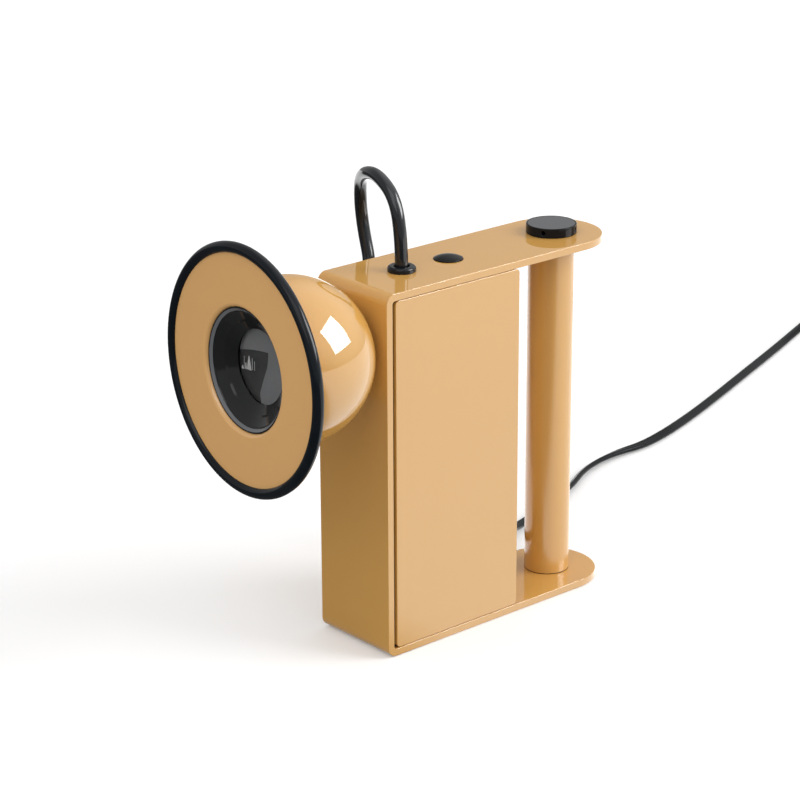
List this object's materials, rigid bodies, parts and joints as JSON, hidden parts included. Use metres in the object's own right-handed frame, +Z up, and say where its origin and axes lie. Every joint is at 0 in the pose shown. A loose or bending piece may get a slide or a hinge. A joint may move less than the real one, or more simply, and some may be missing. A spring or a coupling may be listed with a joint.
{
  "type": "tabletop searchlight lamp",
  "caption": "Table searchlight: a folded box body with a tube handle holds a ball head with a round flanged front and rubber rim, a looped lead, push button and dimmer knob.",
  "frame": {"origin": "middle of the rubber sheet's underside, on the table, halfway between the front wall and the handle's nose", "axes": "+X from the lamp head towards the handle, +Y towards the side the looped lead is on, +Z up"},
  "size_m": [0.7531, 0.2815, 0.2503],
  "materials": {
    "painted_sheet": "gloss",
    "painted_head": "gloss",
    "rubber": "matte",
    "black_plastic": "satin",
    "black_metal": "satin",
    "grey_cap": "satin",
    "zinc": "satin",
    "magnet": "polished",
    "mirror_alu": "polished",
    "clear_glass": "gloss",
    "ceramic": "matte",
    "emitter": "matte",
    "brass_pin": "polished"
  },
  "bodies": {
    "base": {"frame_strip": "painted_sheet", "base_pad": "rubber", "side_cover_near": "painted_sheet", "side_cover_far": "painted_sheet", "rear_wall": "painted_sheet", "cover_screws": "zinc", "rear_wall_screws": "zinc", "handle_tube": "painted_sheet", "handle_foot": "zinc", "handle_screw": "zinc", "dimmer_body": "zinc", "switch_body": "black_plastic", "switch_screws": "zinc", "button_spring": "zinc", "ball_seat": "black_plastic", "seat_magnet": "magnet", "magnet_cup": "zinc", "seat_screws": "zinc", "head_lead": "rubber", "lead_grommet": "rubber", "lead_ferrule": "zinc", "mains_boot": "rubber", "boot_nut": "zinc", "mains_lead": "rubber", "mains_coil": "rubber", "plug_body": "black_plastic", "plug_pins": "brass_pin", "driver_box": "black_plastic", "driver_screws": "zinc", "terminal_block": "ceramic"},
    "cord_elbow": {"lead_elbow": "black_plastic", "elbow_nut": "zinc"},
    "head": {"head_shell": "painted_head", "head_flange": "painted_head", "rim_bead": "rubber", "lamp_cup": "black_metal", "cover_glass": "clear_glass", "reflector_bowl": "mirror_alu", "lamp_holder": "ceramic", "lamp_capsule": "clear_glass", "lamp_emitter": "emitter"},
    "button": {"push_button": "black_plastic"},
    "dimmer": {"dimmer_shaft": "zinc", "dimmer_knob": "black_metal", "knob_cap": "grey_cap", "knob_grub_screws": "zinc"}
  },
  "joints": [
    {"name": "head_pan", "type": "hinge", "parent": "base", "child": "cord_elbow", "pos_m": [-0.12595, 0, 0.1691], "axis": [0, 0, 1], "range_deg": [-22, 38], "deforming": ["head_lead"]},
    {"name": "head_tilt", "type": "hinge", "parent": "cord_elbow", "child": "head", "pos_m": [-0.12595, 0, 0.1691], "axis": [0.0523, 0.9986, 0], "range_deg": [-45, 60]},
    {"name": "button_press", "type": "slide", "parent": "base", "child": "button", "axis": [0, 0, -1], "range_m": [0, 0.0012], "stiffness_N_per_m": 600, "springref_m": -0.0006, "deforming": ["button_spring"]},
    {"name": "dimmer_turn", "type": "hinge", "parent": "base", "child": "dimmer", "pos_m": [0.05685, 0, 0.2], "axis": [0, 0, 1], "range_deg": [-140, 140]}
  ]
}
